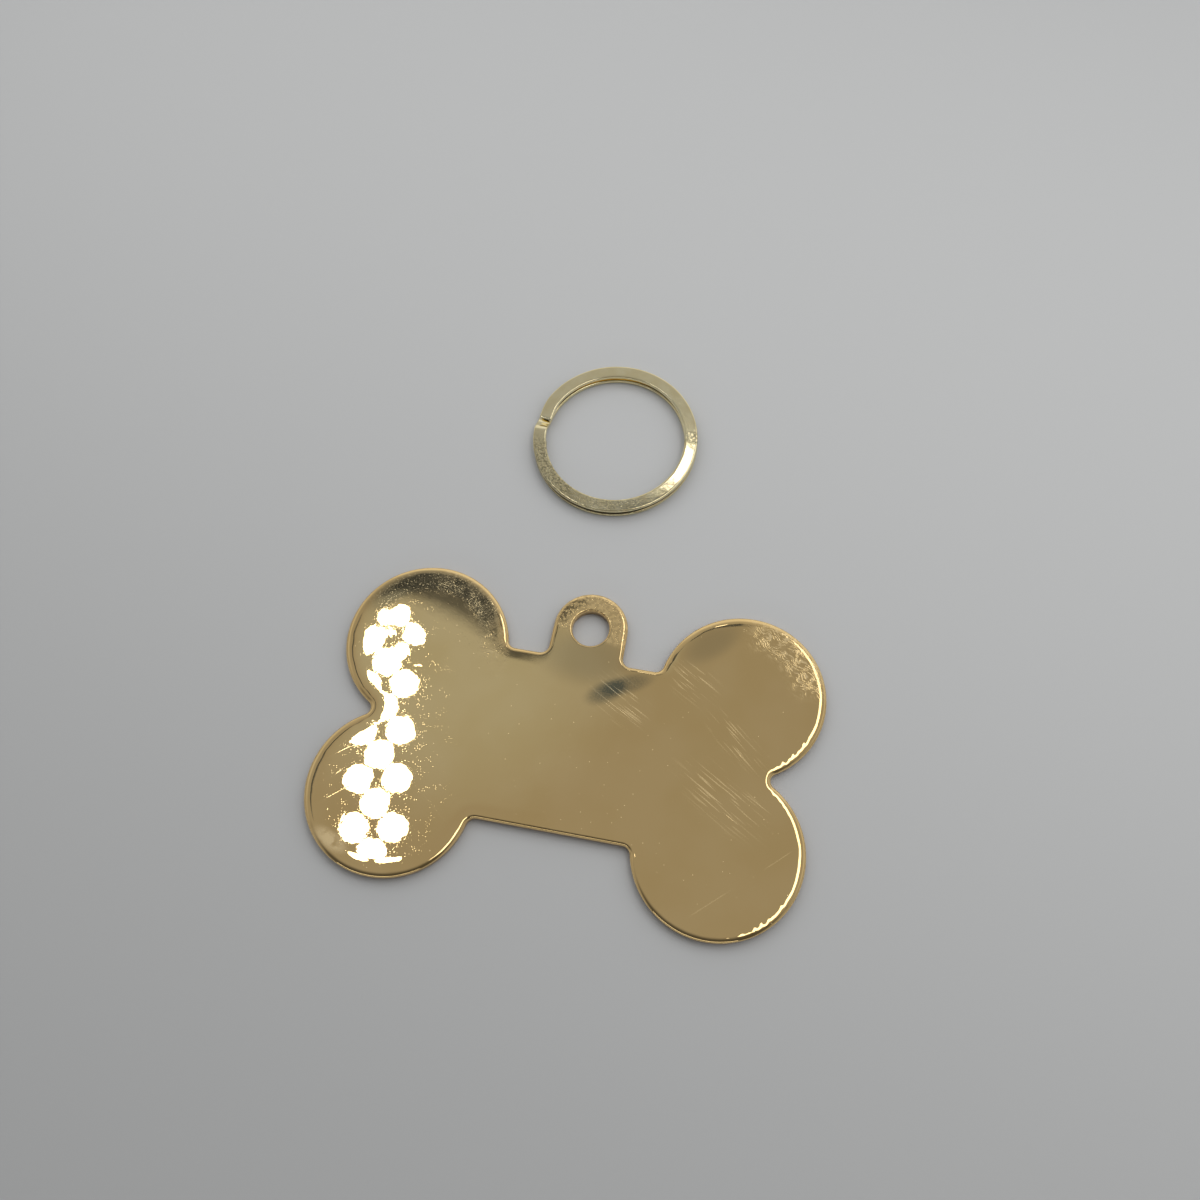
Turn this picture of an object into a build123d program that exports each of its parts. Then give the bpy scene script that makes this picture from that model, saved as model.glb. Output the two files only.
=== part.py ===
# Bone-shaped pet id tag with its split ring lying beside it.
# Millimetres. The tag lies on its back on z = 0: +X along the bone, +Y towards the ear, +Z out of the face.
# The origin is the centre of the bone on its back face.

import os
from math import cos, degrees, radians, sin, sqrt

from build123d import *

os.makedirs("parts", exist_ok=True)

# Bone outline
plate_thickness = 1.2
lobe_radius = 8.5
lobe_overlap = 1.1       # how far the two lobes at one end run into each other
waist_length = 16.0      # clear length between the left and the right lobes
waist_height = 18.0
notch_fillet = 0.8       # in the notch between two lobes
waist_fillet = 0.9       # where a lobe meets the straight waist

# Ear with its hole
ear_radius = 3.86
ear_rise = 3.45          # from the waist's edge up to the hole's centre
ear_taper = 0.8          # degrees that each side of the ear leans outwards towards its root
ear_fillet = 0.9
hole_radius = 1.92

# Edges worn round by stamping and polishing
face_roll = 0.4          # around the face
back_roll = 0.15         # around the back
hole_roll = 0.24         # around the hole, on the face

# Split ring, wound from flat wire
ring_diameter = 18.2     # outside
wire_width = 1.45
wire_thickness = 0.45
wire_corner = 0.12       # rounded long edges of the flat wire
turn_gap = 0.42          # between the lower and the upper turn
step_length = 2.6        # of ring along which the wire climbs from the lower to the upper turn
step_overlap = 0.15      # how far each wire end reaches past the foot or the head of the step
step_bearing = 180.4     # where the step is on the ring, degrees from +X

# Where the ring lies
ring_distance = 9.36     # clear space between the tag and the ring
ring_offset = -1.65      # sideways from the ear

# Places worked out from the sizes
lobe_x = waist_length / 2 + lobe_radius
lobe_y = lobe_radius - lobe_overlap / 2
waist_edge = waist_height / 2
ear_y = waist_edge + ear_rise
ear_lean = radians(ear_taper)
ear_foot = (ear_radius + ear_rise * sin(ear_lean)) / cos(ear_lean)
tag_top = max(ear_y + ear_radius, lobe_y + lobe_radius)

# Fillets keep to the straight run between the ear and a lobe, and rounded edges to the plate's thickness
shoulder_run = waist_length / 2 - ear_radius
waist_corner = min(waist_fillet, 0.45 * shoulder_run)
ear_corner = min(ear_fillet, 0.35 * shoulder_run)
face_edge = min(face_roll, 0.5 * plate_thickness)
hole_edge = min(hole_roll, 0.5 * plate_thickness)
back_edge = min(back_roll, 0.25 * plate_thickness)


# Tag plate: four lobes, a waist and an ear, stamped out of one sheet
with BuildPart() as tag_plate:
    with BuildSketch() as bone:
        with GridLocations(2 * lobe_x, 2 * lobe_y, 2, 2):
            Circle(lobe_radius)
        Rectangle(2 * lobe_x, waist_height)
        notches = bone.vertices().filter_by(lambda v: abs(v.X) > lobe_x and abs(v.Y) < lobe_overlap / 2)
        fillet(notches, radius=notch_fillet)
        waist_corners = bone.vertices().filter_by(lambda v: abs(v.X) < lobe_x - lobe_radius / 2)
        fillet(waist_corners, radius=waist_corner)
        with BuildLine():
            top = CenterArc((0, ear_y), ear_radius, ear_taper, 180 - 2 * ear_taper)
            root = Polyline((-ear_foot, waist_edge), (-ear_foot, 0), (ear_foot, 0), (ear_foot, waist_edge))
            Line(top @ 1, root @ 0)
            Line(root @ 1, top @ 0)
        make_face()
        ear_corners = bone.vertices().filter_by(lambda v: abs(v.Y - waist_edge) < ear_corner / 10)
        fillet(ear_corners.filter_by(lambda v: abs(abs(v.X) - ear_foot) < ear_corner / 10), radius=ear_corner)
    extrude(amount=plate_thickness)
    rim = tag_plate.faces().sort_by(Axis.Z)[-1].outer_wire().edges()
    fillet(rim, radius=face_edge)
    back_rim = tag_plate.faces().sort_by(Axis.Z)[0].outer_wire().edges()
    fillet(back_rim, radius=back_edge)
    with Locations((0, ear_y, plate_thickness)):
        Hole(hole_radius)
    hole_rim = tag_plate.faces().sort_by(Axis.Z)[-1].inner_wires()[0].edges()
    fillet(hole_rim, radius=hole_edge)
tag_plate.part.label = "tag_plate"
export_step(tag_plate.part, "parts/tag_plate.step")

# Split ring: the flat wire runs once round low down, climbs the step and runs round again above itself
ring_radius = (ring_diameter - wire_width) / 2
ring_x = ring_offset
ring_y = tag_top + ring_distance + ring_diameter / 2
low = wire_thickness / 2
high = low + wire_thickness + turn_gap
step_angle = degrees(step_length / ring_radius)
overlap_angle = degrees(step_overlap / ring_radius)
step_start = step_bearing - step_angle / 2
step_end = step_bearing + step_angle / 2
lower_first = step_end - overlap_angle
upper_last = step_start + overlap_angle + 360


def on_ring(radius, bearing, height):
    """Point at a radius and a bearing from the ring's centre."""
    turn = radians(bearing)
    return Vector(ring_x + radius * cos(turn), ring_y + radius * sin(turn), height)


def heading(bearing):
    """Direction of the wire where it lies level."""
    turn = radians(bearing)
    return Vector(-sin(turn), cos(turn), 0)


def biarc_middle(start, start_heading, end, end_heading):
    """Where two arcs meet that join two points, each arc in line with the heading at its own end."""
    span = end - start
    both = start_heading + end_heading
    spread = 2 * (1 - start_heading.dot(end_heading))
    reach = (sqrt(span.dot(both) ** 2 + spread * span.dot(span)) - span.dot(both)) / spread
    return (start + end) * 0.5 + (start_heading - end_heading) * (reach / 2)


def level_turn(first, last, height):
    """Level stretch of the wire's middle line as three equal arcs, each under a half turn."""
    third = (last - first) / 3
    for leg in range(3):
        bearings = [first + (leg + part) * third for part in (0, 0.5, 1)]
        ThreePointArc([on_ring(ring_radius, bearing, height) for bearing in bearings])


def climbing_step(radius):
    """The step as two arcs that leave and end level, at a radius from the ring's centre."""
    foot_of_step = on_ring(radius, step_start, low)
    head_of_step = on_ring(radius, step_end, high)
    middle = biarc_middle(foot_of_step, heading(step_start), head_of_step, heading(step_end))
    rise = TangentArc(foot_of_step, middle, tangent=heading(step_start))
    TangentArc(rise @ 1, head_of_step, tangent=rise % 1)


def across_wire(bearing, height):
    """Plane square to the level wire, with its X up and its Y across the ring."""
    return Plane(on_ring(ring_radius, bearing, height), x_dir=(0, 0, 1), z_dir=heading(bearing))


with BuildLine() as lower_turn:
    level_turn(lower_first, step_start + 360, low)
with BuildLine() as step:
    climbing_step(ring_radius)
with BuildLine() as inside_of_step:
    climbing_step(ring_radius - wire_width / 2)
with BuildLine() as upper_turn:
    level_turn(step_end, upper_last, high)

with BuildPart() as split_ring:
    for route, bearing, height in ((lower_turn, lower_first, low), (upper_turn, step_end, high)):
        with BuildSketch(across_wire(bearing, height)) as wire_section:
            RectangleRounded(wire_thickness, wire_width, wire_corner)
        sweep(path=route.wire())
    # The line along the inside of the step keeps the flat of the climbing wire from rolling over
    with BuildSketch(across_wire(step_start, low)):
        RectangleRounded(wire_thickness, wire_width, wire_corner)
    sweep(path=step.wire(), binormal=inside_of_step.wire())
split_ring.part.label = "split_ring"
export_step(split_ring.part, "parts/split_ring.step")


def least_turn_gap():
    """Least gap between the top of the wire and the underside of the turn above it, on points of its route."""
    tops = []
    undersides = []
    for route, points in ((lower_turn, 360), (step, 60), (upper_turn, 360)):
        for count in range(points + 1):
            point = route.wire() @ (count / points)
            outwards = Vector(point.X - ring_x, point.Y - ring_y, 0)
            up = outwards.cross(route.wire() % (count / points)).normalized()
            tops.append(point + up * low)
            undersides.append(point - up * low)
    one_turn = len(tops) // 2
    nearby = one_turn // 4
    gaps = []
    for count, top_point in enumerate(tops):
        above = undersides[count + one_turn - nearby:count + one_turn + nearby]
        gaps.extend((underside - top_point).length for underside in above)
    return min(gaps)


wire_length = lower_turn.wire().length + step.wire().length + upper_turn.wire().length
wire_volume = wire_section.sketch.area * wire_length
print(f"bone {2 * (lobe_x + lobe_radius):.2f} long, {2 * (lobe_y + lobe_radius):.2f} across its lobes")
print(f"plate volume {tag_plate.part.volume:.1f} mm3")
print(f"ring volume {split_ring.part.volume:.2f} mm3, section times length {wire_volume:.2f} mm3")
print(f"least gap between the turns of the ring {least_turn_gap():.3f} mm")
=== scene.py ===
# %% [markdown]
# # A bone-shaped pet tag beside its split ring
# The tag is one thin brass plate, stamped to a bone and plated with polished gold. The ring is one flat
# wire, wound twice round. The frame brings both as CAD solids with their true sizes and places.
# This lesson dresses them: finer edges where the light catches, finishes, light and a camera.

# %% Load the frame and keep its box
from math import atan2, ceil, cos, degrees, pi, radians, sin, sqrt

import bpy
from mathutils import Matrix, Vector, noise
from mathutils.geometry import delaunay_2d_cdt
from mathutils.kdtree import KDTree


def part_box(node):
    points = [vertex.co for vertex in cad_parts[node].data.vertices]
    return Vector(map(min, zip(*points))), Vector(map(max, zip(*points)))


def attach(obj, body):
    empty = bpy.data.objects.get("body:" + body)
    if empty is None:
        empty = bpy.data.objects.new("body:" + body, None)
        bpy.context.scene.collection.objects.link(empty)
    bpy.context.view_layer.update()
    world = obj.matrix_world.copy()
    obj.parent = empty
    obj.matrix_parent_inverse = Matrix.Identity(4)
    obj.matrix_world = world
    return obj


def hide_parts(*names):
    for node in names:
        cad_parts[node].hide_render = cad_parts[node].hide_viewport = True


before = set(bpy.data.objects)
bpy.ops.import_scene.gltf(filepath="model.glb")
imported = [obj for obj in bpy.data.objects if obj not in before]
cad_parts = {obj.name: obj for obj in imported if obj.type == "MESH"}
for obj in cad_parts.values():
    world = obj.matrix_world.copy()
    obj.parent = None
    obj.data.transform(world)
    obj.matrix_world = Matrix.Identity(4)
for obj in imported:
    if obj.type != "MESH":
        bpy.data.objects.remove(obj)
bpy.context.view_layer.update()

mm = 0.001
plate_low, plate_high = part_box("tag_plate")
ring_low, ring_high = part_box("split_ring")
print("tag in mm", [round(side / mm, 2) for side in plate_high - plate_low])
print("ring in mm", [round(side / mm, 2) for side in ring_high - ring_low])

# %% [markdown]
# ## Camera
# The photo looks down steeply from in front of the tag, a little from its right, with the picture rolled
# by six degrees. A camera can be turned by hand until things line up, but three angles and a place,
# measured from the photo, give the same view each time. The lens follows from the focal length in pixels.

# %% Place the camera
photo_pixels = 1200
focal_pixels = 1199.4
view_turn = radians(16.68)
view_height = radians(68.41)
view_roll = radians(6.15)
camera_place = Vector((13.625, -28.594, 117.943)) * mm

backwards = Vector((sin(view_turn) * cos(view_height), -cos(view_turn) * cos(view_height), sin(view_height)))
level = Vector((cos(view_turn), sin(view_turn), 0))
upright = backwards.cross(level)
picture_right = level * cos(view_roll) - upright * sin(view_roll)
picture_up = level * sin(view_roll) + upright * cos(view_roll)

sensor_width = 36
camera_data = bpy.data.cameras.new("photo_camera")
camera_data.sensor_width = sensor_width
camera_data.lens = sensor_width * focal_pixels / photo_pixels
camera_data.clip_start = 2 * mm
camera = bpy.data.objects.new("photo_camera", camera_data)
camera_turn = Matrix((picture_right, picture_up, backwards)).transposed().to_4x4()
camera.matrix_world = Matrix.Translation(camera_place) @ camera_turn
bpy.context.collection.objects.link(camera)
bpy.context.scene.camera = camera
print(f"lens {camera_data.lens:.2f} mm, {camera_place.length / mm:.0f} mm from the middle of the tag")

# %% [markdown]
# ## Nodes written as sums
# Shader and geometry nodes are clicked together by hand as a rule. In a script they read better as
# sums, so one small class wraps a socket: adding or multiplying two of them adds a Math node, and any
# other node comes from its one method `node`, which sets the node up and plugs in its inputs.


# %% A socket that can be added and multiplied
class Value:
    """A node's socket. Python's operators add Math nodes to its tree."""

    def __init__(self, tree, socket=None):
        self.tree = tree
        self.socket = socket

    def node(self, kind, settings=None, inputs=None, output=0):
        """Add a node with its settings first, then numbers or links on its sockets; give one output."""
        made = self.tree.nodes.new(kind)
        for name, setting in (settings or {}).items():
            setattr(made, name, setting)
        for name, given in (inputs or {}).items():
            if isinstance(given, Value):
                self.tree.links.new(given.socket, made.inputs[name])
            else:
                made.inputs[name].default_value = given
        return Value(self.tree, made.outputs[output] if made.outputs else None)

    def math(self, operation, first, second=0.0):
        """A Math node on one or two values."""
        return self.node("ShaderNodeMath", {"operation": operation}, {0: first, 1: second})

    def __add__(self, other):
        return self.math("ADD", self, other)

    def __sub__(self, other):
        return self.math("SUBTRACT", self, other)

    def __rsub__(self, other):
        return self.math("SUBTRACT", other, self)

    def __mul__(self, other):
        return self.math("MULTIPLY", self, other)

    def __truediv__(self, other):
        return self.math("DIVIDE", self, other)

    def __rtruediv__(self, other):
        return self.math("DIVIDE", other, self)

    __radd__ = __add__
    __rmul__ = __mul__

    def ramp(self, start, end):
        """0 up to start, 1 from end on, and a smooth rise between them; start may be above end."""
        return self.node("ShaderNodeMapRange", {"interpolation_type": "SMOOTHSTEP"},
                         {"Value": self, "From Min": start, "From Max": end})

    def vector(self, x, y, z):
        """One vector from three values."""
        return self.node("ShaderNodeCombineXYZ", None, {"X": x, "Y": y, "Z": z})

    def noise(self, scale, detail):
        """Soft random values about 0.5 at this place, scale of them to a unit."""
        return self.node("ShaderNodeTexNoise", None, {"Vector": self, "Scale": scale, "Detail": detail})


print("sums of sockets are ready")

# %% [markdown]
# ## The outline of the bone
# The plate is four round lobes, a straight waist and an ear for the ring, cut from sheet. The CAD solid
# has this outline already, but its rim is one plain rounding all round, and a mirror shows every facet.
# So the visible plate is laid out again, finely, from the same arcs: a list of arcs is followed round,
# and a straight run is simply what lies between the end of one arc and the start of the next.

# %% Sizes of the outline, in millimetres
thickness = plate_high.z / mm
lobe_radius = 8.5
lobe_x = plate_high.x / mm - lobe_radius
lobe_y = -plate_low.y / mm - lobe_radius
waist_edge = 9.0
waist_fillet = 0.9
notch_fillet = 0.8
ear_radius = 3.86
ear_lean = radians(0.8)
ear_fillet = 0.9
hole_radius = 1.92
hole_y = 12.45
lobe_roll = 0.8
ear_roll = 0.55
notch_roll = 0.55
corner_roll = 0.42
print(f"lobes of {lobe_radius} mm at {lobe_x:.2f}, {lobe_y:.2f} mm")

# %% Arcs of the outline
waist_bend_x = lobe_x - sqrt((lobe_radius + waist_fillet) ** 2 - (waist_edge + waist_fillet - lobe_y) ** 2)
waist_bend_y = waist_edge + waist_fillet
to_lobe = atan2(lobe_y - waist_bend_y, lobe_x - waist_bend_x)
notch_x = lobe_x + sqrt((lobe_radius + notch_fillet) ** 2 - lobe_y ** 2)
to_notch = atan2(-lobe_y, notch_x - lobe_x)
ear_bend_y = waist_edge + ear_fillet
ear_bend_x = (ear_radius + ear_fillet + (hole_y - ear_bend_y) * sin(ear_lean)) / cos(ear_lean)

# Each arc: centre, radius, first and last bearing, width of the rolled rim along it
right_side = [
    (0, hole_y, ear_radius, pi / 2, ear_lean, ear_roll),
    (ear_bend_x, ear_bend_y, ear_fillet, pi + ear_lean, 1.5 * pi, corner_roll),
    (waist_bend_x, waist_bend_y, waist_fillet, -pi / 2, to_lobe, corner_roll),
    (lobe_x, lobe_y, lobe_radius, pi + to_lobe, to_notch, lobe_roll),
    (notch_x, 0, notch_fillet, pi + to_notch, pi - to_notch, notch_roll),
    (lobe_x, -lobe_y, lobe_radius, -to_notch, -pi - to_lobe, lobe_roll),
    (waist_bend_x, -waist_bend_y, waist_fillet, -to_lobe, pi / 2, corner_roll),
]
left_side = [(-x, y, radius, pi - last, pi - first, roll) for x, y, radius, first, last, roll in right_side]
arcs = right_side + left_side[::-1]
print(f"outline of {len(arcs)} arcs")
print(f"waist bends at {waist_bend_x:.2f}, notch at {notch_x - notch_fillet:.2f} mm")


# %% Follow the arcs round
edge_step = 0.16


def follow(arcs, step):
    """Points round the outline, clockwise: x, y, outward direction and width of the rolled rim."""
    stations = []
    for x, y, radius, first, last, roll in arcs:
        outwards = 1 if last < first else -1
        count = ceil(abs(last - first) * radius / step)
        for part in range(count + 1):
            bearing = first + (last - first) * part / count
            stations.append((x + radius * cos(bearing), y + radius * sin(bearing),
                             outwards * cos(bearing), outwards * sin(bearing), roll))
    same_place = step / 50
    spare = 0.1
    spaced = []
    for here, after in zip(stations, stations[1:] + stations[:1]):
        gap = sqrt((after[0] - here[0]) ** 2 + (after[1] - here[1]) ** 2)
        if gap < same_place:
            continue
        count = ceil(gap / step - spare)
        for part in range(count):
            spaced.append([a + (b - a) * part / count for a, b in zip(here, after)])
    return spaced


outline = follow(arcs, edge_step)
print(f"{len(outline)} points round the bone")

# %% [markdown]
# ## A rim that has been handled
# A stamped rim is never quite even: its rolled edge is wider here and tighter there, and tags knock
# against each other in their box. On a mirror finish each unevenness breaks the bright line along the
# edge. The points could be pushed about by hand, but noise at each point's own place does it evenly and
# gives the same knocks on each run.

# %% Knock the rim about
blend_length = 0.9
ripple_share = 0.12
ripple_pace = 0.9
knocks = [Vector((21.4, -14.4)), Vector((22.9, 1.6))]
knock_reach = 5.5
knock_depth = 0.045
knock_pace = 1.9
knock_seed = 7
reach = round(blend_length / edge_step)
rolls = [station[4] for station in outline]
for index, station in enumerate(outline):
    window = [rolls[(index + offset) % len(rolls)] for offset in range(-reach, reach + 1)]
    spot = Vector(station[:2])
    ripple = ripple_share * noise.noise(Vector((*spot, 0)) * ripple_pace)
    nearness = max(1 - (spot - knock).length / knock_reach for knock in knocks)
    station[4] = sum(window) / len(window) * (1 + ripple)
    station.append(knock_depth * max(nearness, 0) * noise.noise(Vector((*spot, knock_seed)) * knock_pace))
widths = [station[4] for station in outline]
print(f"rolled rim {min(widths):.2f} to {max(widths):.2f} mm wide")

# %% [markdown]
# ## The plate's mesh
# Stamping rolls the edge of the face over: wide and soft on the lobes, tight in the notches. The rim is
# built as rows that step from the back over the side to the face. The face between the rim and the hole
# is filled with a fine, even grid of triangles, because a polished face needs points to bend gently.

# %% Rows of the rim and of the hole
crown = 0.05
face_level = thickness - crown
roll_depth = 0.36
back_round = 0.15
hole_roll = 0.24
roll_steps = 9
last_turn = radians(84)
turns = [last_turn * step / roll_steps for step in range(roll_steps + 1)]
back_turns = (0, pi / 6, pi / 3)
face_insets = (0.1, 0.25, 0.5)

# Each row: share of the roll's width, fixed inset, height
rows = [(0, back_round * (1 - sin(turn)), back_round * (1 - cos(turn))) for turn in back_turns]
rows += [(0, 0, back_round + (face_level - roll_depth - back_round) * part) for part in (0, 0.5)]
rows += [(1 - cos(turn), 0, face_level - roll_depth * (1 - sin(turn) / sin(last_turn))) for turn in turns]
rim_row = len(rows) - 1
rows += [(1 - cos(last_turn), inset, face_level) for inset in face_insets]

# Each row of the hole: radius, height
burr = 0.1
hole_wall = 0.45
hole_margin = 0.1
hole_rows = []
for turn in (*back_turns, pi / 2):
    hole_rows.append((hole_radius + burr * (1 - sin(turn)), burr * (1 - cos(turn))))
hole_rows.append((hole_radius, hole_wall))
for turn in turns:
    hole_drop = hole_roll * (1 - sin(turn) / sin(last_turn))
    hole_rows.append((hole_radius + hole_roll * (1 - cos(turn)), face_level - hole_drop))
hole_rows.append((hole_rows[-1][0] + hole_margin, face_level))
print(f"{len(rows)} rows over the rim, {len(hole_rows)} through the hole")

# %% Lay out the points and faces
points = []
faces = []
hole_count = 96
dent_reach = 0.25


def loop_faces(start, count, row_count, inside_out):
    """Quads between rows of count points each."""
    for row in range(row_count - 1):
        for index in range(count):
            a = start + row * count + index
            b = start + row * count + (index + 1) % count
            quad = (a, b, b + count, a + count)
            faces.append(quad[::-1] if inside_out else quad)


for share, inset, height in rows:
    for x, y, out_x, out_y, roll, knock in outline:
        depth = share * roll + inset
        dent = share * knock * max(1 - inset / dent_reach, 0)
        points.append((x - out_x * depth, y - out_y * depth, height - dent))
loop_faces(0, len(outline), len(rows), True)
hole_start = len(points)
for radius, height in hole_rows:
    for index in range(hole_count):
        bearing = 2 * pi * index / hole_count
        points.append((radius * cos(bearing), hole_y + radius * sin(bearing), height))
loop_faces(hole_start, hole_count, len(hole_rows), True)
rim_faces = len(faces)
print(f"{len(points)} points, {rim_faces} faces on the edges")

# %% A way to fill between the rim and the hole
eye = Vector((0, hole_y))
valid_faces = 4  # asks for the extra edges that whole faces need
same_point = 1e-7


def fill(rim_start, eye_start, spread, upwards):
    """Triangles between one row of the rim and one row of the hole, with spread points between them."""
    known = list(range(rim_start, rim_start + len(outline)))
    known += range(eye_start, eye_start + hole_count)
    flat = [Vector(points[index][:2]) for index in known] + spread
    edges = [(a, (a + 1) % len(outline)) for a in range(len(outline))]
    edges += [(len(outline) + a, len(outline) + (a + 1) % hole_count) for a in range(hole_count)]
    places, _, triangles, _, _, _ = delaunay_2d_cdt(flat, edges, [], valid_faces, same_point)
    height = points[rim_start][2]
    eye_radius = (Vector(points[eye_start][:2]) - eye).length * cos(pi / hole_count)
    first_new = len(points)
    points.extend((place.x, place.y, height) for place in places[len(known):])
    number = known + list(range(first_new, len(points)))
    for triangle in triangles:
        corners = [places[index] for index in triangle]
        middle = (corners[0] + corners[1] + corners[2]) / 3
        if (middle - eye).length < eye_radius:
            continue
        turn = (corners[1] - corners[0]).cross(corners[2] - corners[0])
        ordered = triangle if (turn > 0) == upwards else triangle[::-1]
        faces.append(tuple(number[index] for index in ordered))


print("the plate can be filled")

# %% Fill the face and the back
grid_step = 0.42
clear = 0.6 * grid_step
face_rim = (len(rows) - 1) * len(outline)
face_eye = hole_start + (len(hole_rows) - 1) * hole_count
rim_tree = KDTree(len(outline))
for index in range(len(outline)):
    rim_tree.insert((*points[face_rim + index][:2], 0), index)
rim_tree.balance()


def inside(spot):
    """True on the face, a little away from the rim and from the hole."""
    near, index, _ = rim_tree.find((*spot, 0))
    depth = (near.xy - spot).dot(Vector(outline[index][2:4]))
    return depth > clear and (spot - eye).length > hole_rows[-1][0] + clear


row_step = grid_step * sqrt(3) / 2
row_count = ceil(plate_high.y / mm / row_step)
column_count = ceil(plate_high.x / mm / grid_step)
spread = []
for row in range(-row_count, row_count + 1):
    for column in range(-column_count, column_count + 1):
        spot = Vector(((column + 0.5 * (row % 2)) * grid_step, row * row_step))
        if inside(spot):
            spread.append(spot)
fill(face_rim, face_eye, spread, True)
back_first = len(faces)
fill(0, hole_start, [], False)
print(f"{len(spread)} points spread over the face, {len(faces)} faces in all")

# %% Make the plate's object
plate_mesh = bpy.data.meshes.new("stamped_plate")
plate_mesh.from_pydata([Vector(point) * mm for point in points], [], faces)
plate_mesh.polygons.foreach_set("use_smooth", [index < back_first for index in range(len(faces))])
rim_first = rim_row * len(outline)
rim_last = rim_first + len(outline)
rim_line = [rim_first <= index < rim_last for index in range(len(points))]
lift = [point[2] / face_level if index >= rim_first else 0.0 for index, point in enumerate(points)]
plate_mesh.attributes.new("rim_line", "BOOLEAN", "POINT").data.foreach_set("value", rim_line)
plate_mesh.attributes.new("lift", "FLOAT", "POINT").data.foreach_set("value", lift)
plate = bpy.data.objects.new("stamped_plate", plate_mesh)
bpy.context.collection.objects.link(plate)
print(f"plate of {len(plate_mesh.polygons)} faces")

# %% [markdown]
# ## The pressed face
# Under the stamp the face of the tag is left a little crowned along its rim, with faint waves further in.
# They are far too shallow to see as steps, but a mirror finish shows them at once. Moving the points by
# hand would be guesswork, so Geometry Nodes do it by a rule: each point asks how far the rim is, rises
# with that distance, and adds a slow random wave.


# %% A tree with named sizes
def start_tree(name, sizes):
    """An empty Geometry Nodes tree and its inputs by name, ready for sums."""
    tree = bpy.data.node_groups.new(name, "GeometryNodeTree")
    tree.interface.new_socket("Geometry", in_out="INPUT", socket_type="NodeSocketGeometry")
    for size in sizes:
        tree.interface.new_socket(size, in_out="INPUT", socket_type="NodeSocketFloat")
    tree.interface.new_socket("Geometry", in_out="OUTPUT", socket_type="NodeSocketGeometry")
    source = tree.nodes.new("NodeGroupInput")
    given = {socket.name: Value(tree, socket) for socket in source.outputs if socket.name}
    return tree, given


def end_tree(geometry, material):
    """Close a tree with real geometry that wears its material."""
    real = geometry.node("GeometryNodeRealizeInstances", None, {"Geometry": geometry})
    dressed = real.node("GeometryNodeSetMaterial", None, {"Geometry": real, "Material": material})
    dressed.node("NodeGroupOutput", None, {0: dressed})


def grow(target, tree, sizes):
    """Run a tree on an object with its sizes and keep the result as the object's plain mesh."""
    modifier = target.modifiers.new(tree.name, "NODES")
    modifier.node_group = tree
    for socket in tree.interface.items_tree:
        if socket.name in sizes:
            modifier[socket.identifier] = sizes[socket.name]
    evaluated = target.evaluated_get(bpy.context.evaluated_depsgraph_get())
    result = bpy.data.meshes.new_from_object(evaluated)
    target.modifiers.remove(modifier)
    target.data = result
    return result


gold = bpy.data.materials.new("polished_gold_plating")
pale_gold = bpy.data.materials.new("pale_gold_wire")
print("trees can be started, ended and grown")

# %% Distances on the face
press_sizes = {
    "Crown Height": 0.022 * mm,
    "Crown Reach": 1.0 * mm,
    "Lobe Fall": 0.015 * mm,
    "Fall Reach": 3.5 * mm,
    "Wave Height": 0.004 * mm,
    "Wave Length": 14 * mm,
    "Seed": 3.0,
}
press, given = start_tree("pressed_face", press_sizes)
start = given["Geometry"]
is_rim = start.node("GeometryNodeInputNamedAttribute", {"data_type": "BOOLEAN"}, {"Name": "rim_line"})
rim_only = start.node("GeometryNodeSeparateGeometry", {"domain": "POINT"},
                      {"Geometry": start, "Selection": is_rim})
from_rim = start.node("GeometryNodeProximity", {"target_element": "EDGES"}, {0: rim_only}, "Distance")
spot = start.node("GeometryNodeInputPosition")
side_x, side_y = [start.node("ShaderNodeSeparateXYZ", None, {0: spot}, side) for side in "XY"]


def crowned(reach):
    """0 on the rim and 1 from a reach on, level where it ends."""
    short = 1 - start.math("MINIMUM", from_rim / reach, 1.0)
    return 1 - short * short


def away(place, reach):
    """0 at a place, 1 at a reach from it, by the square of the distance."""
    across = (side_x - place[0] * mm) / (reach * mm)
    along = (side_y - place[1] * mm) / (reach * mm)
    return across * across + along * along


print(f"{sum(rim_line)} points along the rim to measure from")

# %% Crown the face
ear_reach = 7
fall_place = (-13.5, 13.0)
fall_width = 9
wave = start.node("ShaderNodeTexNoise", {"noise_dimensions": "4D"},
                  {"Vector": spot, "W": given["Seed"], "Scale": 1 / given["Wave Length"], "Detail": 1.0})
level_ear = away((0, hole_y), ear_reach).ramp(0.3, 1.0)
crown_rise = given["Crown Height"] * level_ear + given["Wave Height"] * (wave - 0.5)
on_fall = away(fall_place, fall_width).ramp(1.0, 0.3)
fall = given["Lobe Fall"] * on_fall * crowned(given["Fall Reach"])
lift = start.node("GeometryNodeInputNamedAttribute", None, {"Name": "lift"})
height = (crown_rise * crowned(given["Crown Reach"]) + fall) * lift
moved = start.node("GeometryNodeSetPosition", None, {"Geometry": start, "Offset": start.vector(0, 0, height)})
end_tree(moved, gold)
pressed = grow(plate, press, press_sizes)
print(f"face from {face_level:.2f} to {max(vertex.co.z for vertex in pressed.vertices) / mm:.3f} mm")

# %% [markdown]
# ## The split ring
# A split ring is one flat wire that runs round twice, one turn above the other, with a short step where
# it climbs. It could be drawn as a curve by hand, but its path follows a rule, so Geometry Nodes wind it:
# a line is bent round by its bearing, lifted at the step, and swept with a rounded flat section. The
# bought ring is not perfect: its last end is nipped inwards a little and its flats carry tool marks.

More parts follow.
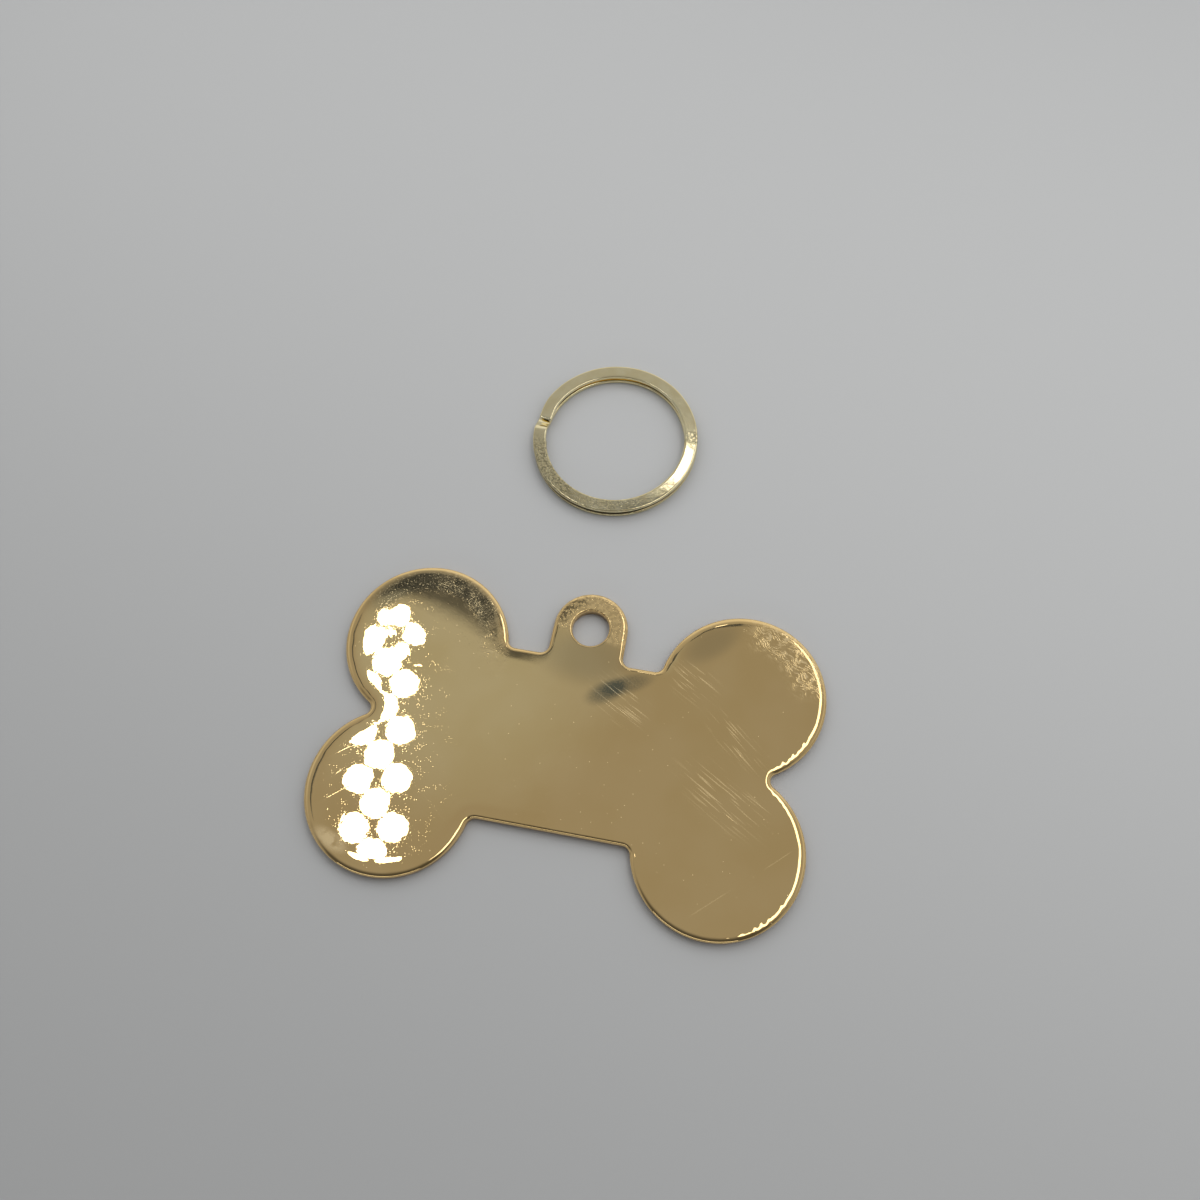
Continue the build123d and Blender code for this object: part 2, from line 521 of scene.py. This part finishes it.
# %% Sizes of the wire
wire_width = 1.45
wire_thickness = 0.45
ring_middle = (ring_low + ring_high) / 2
ring_radius = (ring_high.x - ring_low.x) / 2 - wire_width * mm / 2
low = ring_low.z + wire_thickness * mm / 2
high = ring_high.z - wire_thickness * mm / 2
wire_sizes = {
    "Ring Radius": ring_radius,
    "Wire Width": wire_width * mm,
    "Wire Thickness": wire_thickness * mm,
    "Wire Corner": 0.15 * mm,
    "First Bearing": radians(188.3),
    "Step Start": radians(531.8),
    "Step End": radians(543.0),
    "Last Bearing": radians(893.5),
    "Low": low,
    "High": high,
    "End Nip": 0.22 * mm,
    "Dent Depth": 0.008 * mm,
    "Seed": 5.0,
}
print(f"ring of {ring_radius / mm:.3f} mm to the middle of the wire")
print(f"turns at {low / mm:.3f} and {high / mm:.3f} mm")

# %% Bend the path
path_points = 900
nip_angle = 0.35
winding, given = start_tree("wound_wire", wire_sizes)
start = given["Geometry"]
line = start.node("GeometryNodeCurvePrimitiveLine", None, {"End": (0, 0, 1)})
line = start.node("GeometryNodeResampleCurve", None, {"Curve": line, "Count": path_points})
along = start.node("GeometryNodeSplineParameter", None, None, "Factor")
turned = given["Last Bearing"] - given["First Bearing"]
bearing = given["First Bearing"] + along * turned
climb = bearing.ramp(given["Step Start"], given["Step End"])
nip = bearing.ramp(given["Last Bearing"] - nip_angle, given["Last Bearing"])
radius = given["Ring Radius"] - given["End Nip"] * nip
path_x = radius * start.math("COSINE", bearing) + ring_middle.x
path_y = radius * start.math("SINE", bearing) + ring_middle.y
path_z = given["Low"] + (given["High"] - given["Low"]) * climb
path_place = start.vector(path_x, path_y, path_z)
path = start.node("GeometryNodeSetPosition", None, {"Geometry": line, "Position": path_place})
path = start.node("GeometryNodeSetCurveNormal", {"mode": "Z_UP"}, {"Curve": path})
print(f"path of {path_points} points")

# %% Sweep the section along it
section_points = 48
corner_points = 4
end_round = 0.25 * mm
end_least = 0.6
section = start.node("GeometryNodeCurvePrimitiveQuadrilateral", None,
                     {"Width": given["Wire Width"], "Height": given["Wire Thickness"]})
section = start.node("GeometryNodeFilletCurve", {"mode": "POLY"},
                     {"Curve": section, "Radius": given["Wire Corner"], "Count": corner_points})
section = start.node("GeometryNodeResampleCurve", None, {"Curve": section, "Count": section_points})
from_end = start.math("MINIMUM", along, 1 - along) * turned * given["Ring Radius"] / end_round
end_gap = 1 - start.math("MINIMUM", from_end, 1.0)
end_scale = end_least + (1 - end_least) * start.math("SQRT", 1 - end_gap * end_gap)
wire = start.node("GeometryNodeCurveToMesh", None,
                  {"Curve": path, "Profile Curve": section, "Scale": end_scale, "Fill Caps": True})
print(f"section of {section_points} points")

# %% Dent the wire and wind it
dent_size = 0.9 * mm
spot = start.node("GeometryNodeInputPosition")
dents = start.node("ShaderNodeTexNoise", {"noise_dimensions": "4D"},
                   {"Vector": spot, "W": given["Seed"], "Scale": 1 / dent_size, "Detail": 2.0})
outwards = start.node("GeometryNodeInputNormal")
push = start.node("ShaderNodeVectorMath", {"operation": "SCALE"},
                  {0: outwards, "Scale": (dents - 0.5) * given["Dent Depth"]})
wire = start.node("GeometryNodeSetPosition", None, {"Geometry": wire, "Offset": push})
wire = start.node("GeometryNodeSetShadeSmooth", None, {"Geometry": wire})
end_tree(wire, pale_gold)

ring = bpy.data.objects.new("wound_ring", bpy.data.meshes.new("wound_ring"))
bpy.context.collection.objects.link(ring)
wound = grow(ring, winding, wire_sizes)
ring_top = max(vertex.co.z for vertex in wound.vertices)
print(f"ring of {len(wound.polygons)} faces, {ring_top / mm:.3f} mm high")

# %% [markdown]
# ## Gold plating
# The tag is mirror-bright gold plating with the marks of handling, first of all hairline scratches in
# groups and a few long ones. A picture of scratches could be wrapped round it, but noise that is
# stretched along one direction gives hairlines at any size.


# %% Start a finish
def start_finish(material):
    """Clear a material and give its place in millimetres, as a vector and as x, y and z."""
    material.use_nodes = True
    tree = material.node_tree
    tree.nodes.clear()
    empty = Value(tree)
    place = empty.node("ShaderNodeTexCoord", None, None, "Object")
    place = empty.node("ShaderNodeVectorMath", {"operation": "SCALE"}, {0: place, "Scale": 1 / mm})
    sides = [empty.node("ShaderNodeSeparateXYZ", None, {0: place}, side) for side in "XYZ"]
    return place, *sides


def end_finish(colour, roughness, relief, metallic):
    """A metal with its varying colour, roughness and fine relief in millimetres."""
    bumped = colour.node("ShaderNodeBump", None, {"Height": relief, "Distance": mm})
    metal = colour.node("ShaderNodeBsdfPrincipled", None, {"Base Color": colour, "Metallic": metallic,
                                                           "Roughness": roughness, "Normal": bumped})
    metal.node("ShaderNodeOutputMaterial", None, {"Surface": metal})


def blend(amount, first, second):
    """From the first colour to the second."""
    return amount.node("ShaderNodeMix", {"data_type": "RGBA"}, {0: amount, 6: first, 7: second}, 2)


print("finishes can be started and ended")

# %% Marks along a line
gold_place, x, y, z = start_finish(gold)
hairline_pace = 0.26
hairline_density = 5.4
scratch_width = 0.055


def lined_up(centre, bearing):
    """Distances along and across a line through a spot on the face, in millimetres."""
    turn = radians(bearing)
    side = x - centre[0]
    rise = y - centre[1]
    return side * cos(turn) + rise * sin(turn), rise * cos(turn) - side * sin(turn)


def oval(centre, bearing, length, width):
    """1 in the middle of an oval spot on the face, fading to 0 at its edge."""
    along, across = lined_up(centre, bearing)
    inside = (along * along * (1 / length ** 2) + across * across * (1 / width ** 2)).ramp(1.0, 0.0)
    return inside * inside


def hairlines(centre, bearing, length, width, seed):
    """A group of fine parallel scratches that thins out away from its centre."""
    along, across = lined_up(centre, bearing)
    streaks = x.vector(along * hairline_pace, across * hairline_density, seed).noise(scale=1.0, detail=1.0)
    return streaks.ramp(0.58, 0.68) * oval(centre, bearing, length, width)


def scratch(first, last, width):
    """One scratch between two spots, thinner towards its ends."""
    middle = [(a + b) / 2 for a, b in zip(first, last)]
    run = [b - a for a, b in zip(first, last)]
    along, across = lined_up(middle, degrees(atan2(run[1], run[0])))
    half = sqrt(run[0] ** 2 + run[1] ** 2) / 2
    beside = x.math("ABSOLUTE", across).ramp(width, 0.2 * width)
    return beside * x.math("ABSOLUTE", along).ramp(half, 0.4 * half)


print("hairlines and scratches can be drawn")

# %% Draw the hairlines
# Each group: centre, bearing, half its length and width, strength
hairline_groups = [
    ((4.4, 5.4), -29, 5.4, 3.2, 1.0),
    ((11.6, 8.4), -31, 3.8, 2.8, 1.0),
    ((16.6, 3.2), -40, 5.5, 2.2, 1.0),
    ((16.2, -2.8), -31, 7.5, 3.4, 1.0),
    ((-13.4, 0.5), -50, 3.0, 2.6, 0.06),
]
groups = 0
for seed, (centre, bearing, length, width, strength) in enumerate(hairline_groups, 1):
    groups = hairlines(centre, bearing, length, width, float(seed)) * strength + groups
print(f"{len(hairline_groups)} groups of hairlines")

# %% Draw the scratches
# Each scratch: from, to, strength
lone_scratches = [
    ((14.4, -14.8), (18.6, -11.0), 0.6),
    ((20.9, -9.0), (23.7, -6.4), 0.6),
    ((-24.4, -6.6), (-20.6, -3.7), 0.14),
    ((-23.6, -10.9), (-19.3, -7.2), 0.14),
    ((-24.2, -9.3), (-21.4, -6.6), 0.12),
    ((-13.4, -7.3), (-9.6, -10.3), 0.14),
    ((-13.6, -14.4), (-10.4, -11.0), 0.1),
    ((-10.0, 7.2), (-8.9, 6.0), 0.25),
    ((0.4, 6.6), (6.8, 3.1), 0.7),
    ((3.9, 6.5), (5.1, 5.9), 0.7),
    ((17.7, -1.6), (21.2, -3.5), 0.7),
    ((15.2, -2.9), (17.8, -4.7), 0.7),
    ((15.5, 4.3), (17.9, 2.2), 0.7),
    ((9.1, 8.7), (10.7, 7.5), 0.7),
]
lone = 0
for first, last, strength in lone_scratches:
    lone = scratch(first, last, scratch_width) * strength + lone
on_top = z.ramp(0.7, 0.95)
marks = x.math("MINIMUM", (groups * 0.9 + lone) * on_top, 1.0)
print(f"{len(lone_scratches)} scratches")

# %% [markdown]
# ## Rubs on the lobes and the ear
# Tags lie loose in a box and rub on each other, most of all along the edges of their lobes. Each rub is
# a band of a lobe's edge, filled with short strokes that sway a little. Strokes could be drawn one by one,
# but a mask for where and a noise for how keeps each rub to one line.

# %% Strokes and edges
stroke_pace = 1.3
stroke_density = 10.0
sway_width = 2.0


def combed(bearing, seed):
    """Short wavy strokes all over the face, side by side along a bearing."""
    along, across = lined_up((0, 0), bearing)
    sway = gold_place.noise(scale=0.5, detail=1.0) * sway_width
    strokes = x.vector(along * stroke_pace, (across + sway) * stroke_density, seed)
    return strokes.noise(scale=1.0, detail=1.0).ramp(0.48, 0.62)


def round_edge(centre, inner, outer, first, last):
    """The edge of a round form between two bearings, from an inner radius out to its outer one."""
    side = x - centre[0]
    rise = y - centre[1]
    radius = x.math("SQRT", side * side + rise * rise)
    bearing = x.math("ARCTAN2", rise, side) * (180 / pi)
    middle = (first + last) / 2
    half = (last - first) / 2
    edge = radius.ramp(inner, inner + 0.45 * (outer - inner)) * radius.ramp(outer + 0.5, outer)
    return edge * x.math("ABSOLUTE", bearing - middle).ramp(half, 0.6 * half)


print("rubs can be placed")

# %% Rub the lobes and the ear
broken = gold_place.noise(scale=0.9, detail=2.0)
patchy = broken.ramp(0.3, 0.5)
right_edge = round_edge((lobe_x, lobe_y), inner=4.2, outer=lobe_radius, first=0, last=100)
right_rub = right_edge * patchy * combed(bearing=-35, seed=5.0)
crossed = x.math("MAXIMUM", combed(bearing=-38, seed=6.0), combed(bearing=48, seed=7.0))
left_edge = round_edge((-lobe_x, lobe_y), inner=4.8, outer=lobe_radius, first=-20, last=110)
left_rub = left_edge * patchy * crossed
near_rub = oval((-20.9, -13.7), bearing=-24, length=2.8, width=1.2) * broken.ramp(0.2, 0.5)
ear_tilt = 0.174
ear_start = 11.47
# The ear's upper half: it has real grain, and it is painted paler as a reflection further down
ear_side = (y + x * ear_tilt - ear_start).ramp(-0.25, 0.3) * x.math("ABSOLUTE", x).ramp(5.0, 4.4)
ear_grain = ear_side * gold_place.noise(scale=2.6, detail=3.0).ramp(0.47, 0.54)
scraped = gold_place.noise(scale=3.8, detail=2.0).ramp(0.44, 0.52)
ear_scrapes = round_edge((0, hole_y), inner=2.45, outer=3.3, first=100, last=184) * scraped
print("rubs on two lobes, a pale spot, a grained and scraped ear")

# %% [markdown]
# ## Grit, painted dark reflections and dust
# Dark reflections are painted into the plating: a spot below the ear, patches on the right shoulder
# and under the ear, and a dark, gritty edge on one lobe; specks of dust lie all over. Soft oval spots
# place the dark spot, fine noise breaks it up, and cells of a Voronoi texture, cut off close to their
# middles, make the specks.

# %% Painted dark spots and specks
grit = gold_place.noise(scale=6.0, detail=3.0)
left_grit_and_dark_edge = round_edge((-lobe_x, lobe_y), inner=5.2, outer=lobe_radius - 0.7, first=10, last=170)
dark_spot = oval((2.9, 5.95), bearing=33, length=3.1, width=1.6)
dark_spot_tail = oval((4.9, 7.1), bearing=26, length=3.8, width=1.4)
shoulder_dark_spot = oval((12.6, 13.0), bearing=42, length=5.0, width=2.4)
below_ear = oval((0.4, 9.2), bearing=0, length=7.0, width=4.2) * (1 - ear_side)
# Painted dark reflections: a spot below the ear, the right shoulder, under the ear and the left lobe's top
# edge
painted_dark_reflection = (0.85 * dark_spot + 0.65 * dark_spot_tail) * (0.3 + grit)
painted_dark_reflection = painted_dark_reflection + 0.3 * shoulder_dark_spot + 0.3 * below_ear + 0.6 * left_grit_and_dark_edge
left_specks = left_grit_and_dark_edge * grit.ramp(0.55, 0.66)


def cells(scale):
    """Distance from the nearest of many scattered middles, scale of them to a millimetre."""
    return gold_place.node("ShaderNodeTexVoronoi", None, {"Vector": gold_place, "Scale": scale}, "Distance")


dusty = gold_place.noise(scale=0.35, detail=1.0).ramp(0.42, 0.55)
dust = cells(scale=1.2).ramp(0.09, 0.03) * dusty
pitted = gold_place.noise(scale=0.8, detail=1.0).ramp(0.45, 0.6)
pits = cells(scale=4.8).ramp(0.26, 0.0) * pitted
print("a smudge, a gritty edge, dust and pits")

# %% [markdown]
# ## The whole plating
# All marks come together in one metal. Scratches and rubbed places are rougher and carry a painted sheen
# that makes them paler, painted dark reflections darken the tint, and the side of the plate is painted
# browner as shade. The relief is thousandths of a millimetre, enough for a mirror to show.

# %% Put the gold together
light_gold = (0.97, 0.70, 0.325, 1)
deep_gold = (0.93, 0.66, 0.29, 1)
# Brown for the painted shade on the side of the plate
painted_side_shade = (0.42, 0.26, 0.11, 1)
# Colour of the painted dark reflections
dark_reflection_green = (0.22, 0.21, 0.14, 1)
grain_brown = (0.45, 0.31, 0.13, 1)
scrape_brown = (0.22, 0.15, 0.06, 1)
# Paler gold for the painted sheen on scratches, rubs and specks
pale_sheen_gold = (1.0, 0.80, 0.46, 1)
mirror_roughness = 0.006
peel_height = 0.0012
pit_depth = 0.0008
scratch_depth = 0.003
grain_height = 0.003
right_rub_depth = 0.003
left_rub_depth = 0.001
cloud = gold_place.noise(scale=0.16, detail=2.0)
peel = gold_place.noise(scale=0.9, detail=2.0)
tint = blend(cloud.ramp(0.3, 0.7), deep_gold, light_gold)
# Painted shade: the side of the plate is tinted browner
tint = blend(z.ramp(0.75, 0.6) * 0.7, tint, painted_side_shade)
# Painted dark reflections darken the tint
tint = blend(x.math("MINIMUM", painted_dark_reflection * on_top, 1.0), tint, dark_reflection_green)
tint = blend(ear_grain * on_top * 0.4, tint, grain_brown)
tint = blend(ear_scrapes * on_top, tint, scrape_brown)
painted_sheen_and_dust = right_rub * 0.8 + left_rub * 0.3 + near_rub
# The ear's upper half is painted paler as a reflection
painted_sheen_and_dust = painted_sheen_and_dust + ear_side * 0.2 + left_specks * 0.4 + dust * 0.7
# Painted sheen: scratches, rubs, specks and the ear's top half turn paler and less metallic; dust is pale
# itself
bright = x.math("MAXIMUM", marks * 0.7, painted_sheen_and_dust * on_top)
tint = blend(bright * 0.6, tint, pale_sheen_gold)
satin = (ear_side * 0.3 + left_specks * 0.8 + dust) * on_top
rubs = (right_rub * right_rub_depth + left_rub * left_rub_depth) * on_top
gold_roughness = mirror_roughness + cloud * 0.01 + marks * 0.2 + rubs * 25 + satin * 0.2
gold_relief = peel * peel_height - pits * pit_depth - marks * scratch_depth - rubs
gold_relief = gold_relief + ear_grain * grain_height * on_top
gold_metallic = 1 - bright * 0.4 - satin * 0.25
end_finish(tint, gold_roughness, gold_relief, gold_metallic)
print(f"gold plating of {len(gold.node_tree.nodes)} nodes")

# %% [markdown]
# ## Wire of the ring
# The ring is plated thinner and paler than the tag, and its flats keep the grain of the rolled wire and
# the marks of the tool that wound it. The marks sit at angles round the ring, so the finish works out
# each point's own angle from the ring's middle. A map painted on the unwrapped ring would do as well,
# but an angle needs no unwrapping.

# %% Put the pale gold together
wire_place, x, y, z = start_finish(pale_gold)
around = x.math("ARCTAN2", x - ring_middle.x / mm, ring_middle.y / mm - y) * (180 / pi)


def stretch_of_ring(middle, half):
    """1 at an angle round the ring from its near side, fading to 0 a half stretch away on both sides."""
    return x.math("ABSOLUTE", around - middle).ramp(half, 0.4 * half)


light_wire = (0.96, 0.855, 0.545, 1)
deep_wire = (0.91, 0.79, 0.47, 1)
darker_wire = (0.60, 0.52, 0.31, 1)
marked_wire = (0.36, 0.31, 0.17, 1)
# Brown for the painted shade between the ring's two turns
painted_gap_shade = (0.22, 0.16, 0.07, 1)
smooth_roughness = 0.03
rolled_height = 0.001
hammer_height = 0.005
grain = wire_place.noise(scale=9.0, detail=3.0)
stain = wire_place.noise(scale=0.6, detail=2.0)
hammered = stretch_of_ring(middle=-50, half=38) + stretch_of_ring(middle=98.5, half=7)
hammered = hammered + 0.5 * stretch_of_ring(middle=10, half=35)
hammer_marks = wire_place.noise(scale=4.4, detail=3.0).ramp(0.46, 0.54) * hammered
# A stretch of the ring towards its near left is made darker
darker_stretch = stretch_of_ring(middle=-48, half=48)
near_side = x.math("ABSOLUTE", around).ramp(90, 60)
gap_low = wire_thickness
gap_high = ring_high.z / mm - wire_thickness
# Painted shade on the wire's faces next to the gap between the turns, on the near side
shade_between_turns = z.ramp(gap_low - 0.07, gap_low + 0.01) * z.ramp(gap_high + 0.07, gap_high - 0.01) * near_side
wire_tint = blend(stain.ramp(0.3, 0.7), deep_wire, light_wire)
wire_tint = blend(darker_stretch * 0.42, wire_tint, darker_wire)
wire_tint = blend(hammer_marks * 0.65, wire_tint, marked_wire)
# Painted shade in the gap between the turns
wire_tint = blend(shade_between_turns * 0.85, wire_tint, painted_gap_shade)
wire_roughness = smooth_roughness + stain * 0.04 + grain.ramp(0.45, 0.7) * 0.05 + hammered * 0.05
wire_relief = grain * rolled_height + hammer_marks * hammer_height
end_finish(wire_tint, wire_roughness, wire_relief, 1.0)
print(f"pale gold of {len(pale_gold.node_tree.nodes)} nodes")

# %% [markdown]
# ## Table
# The tag lies on a plain pale sheet, a hair below its back so that the two never share a plane. Blender
# has a ready-made plane, but four corners in a mesh say its size and level outright.

# %% Lay the sheet
sheet_mesh = bpy.data.meshes.new("pale_sheet")
sheet_size = 2.0
sheet_gap = 0.03 * mm
sheet_level = plate_low.z - sheet_gap
corners = [(-1, -1), (1, -1), (1, 1), (-1, 1)]
one_face = [(0, 1, 2, 3)]
sheet_mesh.from_pydata([(a * sheet_size, b * sheet_size, sheet_level) for a, b in corners], [], one_face)
sheet = bpy.data.objects.new("pale_sheet", sheet_mesh)
bpy.context.collection.objects.link(sheet)
paper = bpy.data.materials.new("pale_paper")
paper.use_nodes = True
paper_shader = paper.node_tree.nodes["Principled BSDF"]
paper_shader.inputs["Base Color"].default_value = (0.47, 0.475, 0.475, 1)
paper_shader.inputs["Roughness"].default_value = 0.8
paper_shader.inputs["Specular IOR Level"].default_value = 0.2
sheet_mesh.materials.append(paper)
print(f"sheet of {2 * sheet_size:.0f} m, {sheet_gap / mm:.2f} mm below the tag")

# %% [markdown]
# ## Light
# A mirror finish is only as good as what it reflects, so the studio is simple but shaped. A wide softbox
# on the right edges the lobes, a small one lights the ring's glint, and a low strip in front lights the
# near edges. A string of round lamps hangs where the left lobes mirror it. One more softbox hangs low over
# the table to light it, and is kept out of reflections and out of the camera's sight.


# %% Hang the softboxes
def softbox(name, place, aim, long_way, length, width, radiance, shape="RECTANGLE"):
    """An area of light at a place in millimetres that faces an aim, its length along long_way."""
    lamp = bpy.data.lights.new(name, "AREA")
    lamp.shape = shape
    lamp.size = length * mm
    lamp.size_y = width * mm
    share = pi / 4 if shape == "DISK" else 1
    lamp.energy = radiance * pi * share * length * width * mm ** 2
    back = (Vector(place) - Vector(aim)).normalized()
    across = back.cross(Vector(long_way)).normalized()
    box = bpy.data.objects.new(name, lamp)
    turn = Matrix((across.cross(back), across, back)).transposed().to_4x4()
    box.matrix_world = Matrix.Translation(Vector(place) * mm) @ turn
    bpy.context.collection.objects.link(box)
    return box


softbox("right_softbox", (220, 120, 600), aim=(220, 120, 0), long_way=(0, 1, 0),
        length=720, width=140, radiance=2.2)
softbox("ring_softbox", (-31, 347, 600), aim=(5, 30, 0), long_way=(0, 1, 0),
        length=26, width=24, radiance=3.0)
softbox("near_strip", (-60, -500, 190), aim=(0, 0, 0), long_way=(1, 0, 0),
        length=700, width=60, radiance=1.6)
fill_light = softbox("fill_softbox", (70, 71, 110), aim=(70, 71, 0), long_way=(0.98, -0.2, 0),
                     length=500, width=150, radiance=1.06)
fill_light.visible_glossy = False
fill_light.visible_camera = False
print(f"{len(bpy.data.lights)} softboxes hung")

# %% Hang the string of lamps, one and two by turns
lamp_size = 18.5
lamp_radiance = 6.0
lamp_rows = 12
lamp_first = Vector((-197.6, 207.9, 600))
lamp_step = Vector((2.6, -14.85, 0))
lamp_side = Vector((11.6, 2.3, 0))
for count in range(lamp_rows):
    for side in (-1, 1) if count % 2 else (0,):
        hung = lamp_first + lamp_step * count + lamp_side * side
        softbox("round_lamp", hung, aim=(*hung.xy, 0), long_way=(1, 0, 0),
                length=lamp_size, width=lamp_size, radiance=lamp_radiance, shape="DISK")
print(f"{len(bpy.data.lights)} lights in all")

# %% [markdown]
# ## Dark cards
# Photographers of polished metal hang dark cards so that its edges stand out. Three slate cards over the
# far edge and the left give the lobes and the shoulders their dark crescents. Their borders fade by
# alpha, so that no straight edge shows in the gold, and the camera itself does not see them.

# %% Hang three dark cards
slate = bpy.data.materials.new("slate_card")
_, x, y, _ = start_finish(slate)
soft_edge = x.math("ABSOLUTE", x).ramp(1.0, 0.6) * x.math("ABSOLUTE", y).ramp(1.0, 0.6)
slate_shader = x.node("ShaderNodeBsdfPrincipled", None,
                      {"Base Color": (0.34, 0.38, 0.46, 1), "Roughness": 1.0, "Alpha": soft_edge})
slate_shader.node("ShaderNodeOutputMaterial", None, {"Surface": slate_shader})
card_mesh = bpy.data.meshes.new("slate_card")
card_mesh.from_pydata([(a * mm, b * mm, 0) for a, b in corners], [], one_face)
card_mesh.materials.append(slate)
# Each card: name, place, half its length and width, turn in degrees
cards = [
    ("lobe_card", (-88, 138, 300), 50, 28, -15),
    ("shoulder_card", (-8, 160, 300), 34, 14, 0),
    ("left_card", (-156, 66, 300), 14, 60, 0),
]
for name, place, half_length, half_width, turn in cards:
    card = bpy.data.objects.new(name, card_mesh)
    size = Matrix.Diagonal((half_length, half_width, 1, 1))
    turned = Matrix.Rotation(radians(turn), 4, "Z")
    card.matrix_world = Matrix.Translation(Vector(place) * mm) @ turned @ size
    card.visible_camera = False
    bpy.context.collection.objects.link(card)
print(f"{len(cards)} cards hung")

# %% [markdown]
# ## The room
# The rest of the room is a grey dome that is brighter above and darker towards the near horizon, with a
# faint cool glow round the string of lamps. A picture of a room could light the scene, but a few ramps on
# the direction give the same tones and nothing to recognise.

# %% Shade the dome
world = bpy.data.worlds.new("grey_dome")
world.use_nodes = True
world.node_tree.nodes.clear()
bpy.context.scene.world = world
sky = Value(world.node_tree)
towards = sky.node("ShaderNodeTexCoord", None, None, "Generated")
right, far, up = [sky.node("ShaderNodeSeparateXYZ", None, {0: towards}, way) for way in "XYZ"]
lamp_way = (-0.22, 0.29, 0.93)
beside_lamps = sky.node("ShaderNodeVectorMath", {"operation": "DOT_PRODUCT"},
                        {0: towards, 1: lamp_way}, "Value")
glow = beside_lamps.ramp(0.985, 0.9995)
overhead = (up + far * 0.8).ramp(0.3, 0.85)
far_band = far.ramp(0.40, 0.56)
far_end = far.ramp(0.6, 0.85)
both_sides = sky.math("ABSOLUTE", right).ramp(0.6, 0.85)
dome = 0.08 + 0.25 * overhead + 0.08 * far_band + 0.35 * far_end + 0.25 * both_sides
cool = (0.07, 0.11, 0.15)
grey = sky.node("ShaderNodeCombineColor", None, {side: dome + glow * cool[side] for side in range(3)})
light = sky.node("ShaderNodeBackground", None, {"Color": grey})
light.node("ShaderNodeOutputWorld", None, {"Surface": light})
bpy.context.scene.view_settings.view_transform = "Standard"
print("dome shaded")

# %% [markdown]
# ## Hand over
# Each dressed piece rides on the body of the CAD piece that it stands for, so it moves with it.

# %% Tie the pieces to the frame
# Each piece: object, body, CAD piece that it stands for, finish
pieces = [
    (plate, "tag", "tag_plate", "gold_plate"),
    (ring, "ring", "split_ring", "pale_gold_wire"),
]
for piece, body, node, finish in pieces:
    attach(piece, body)
    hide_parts(node)
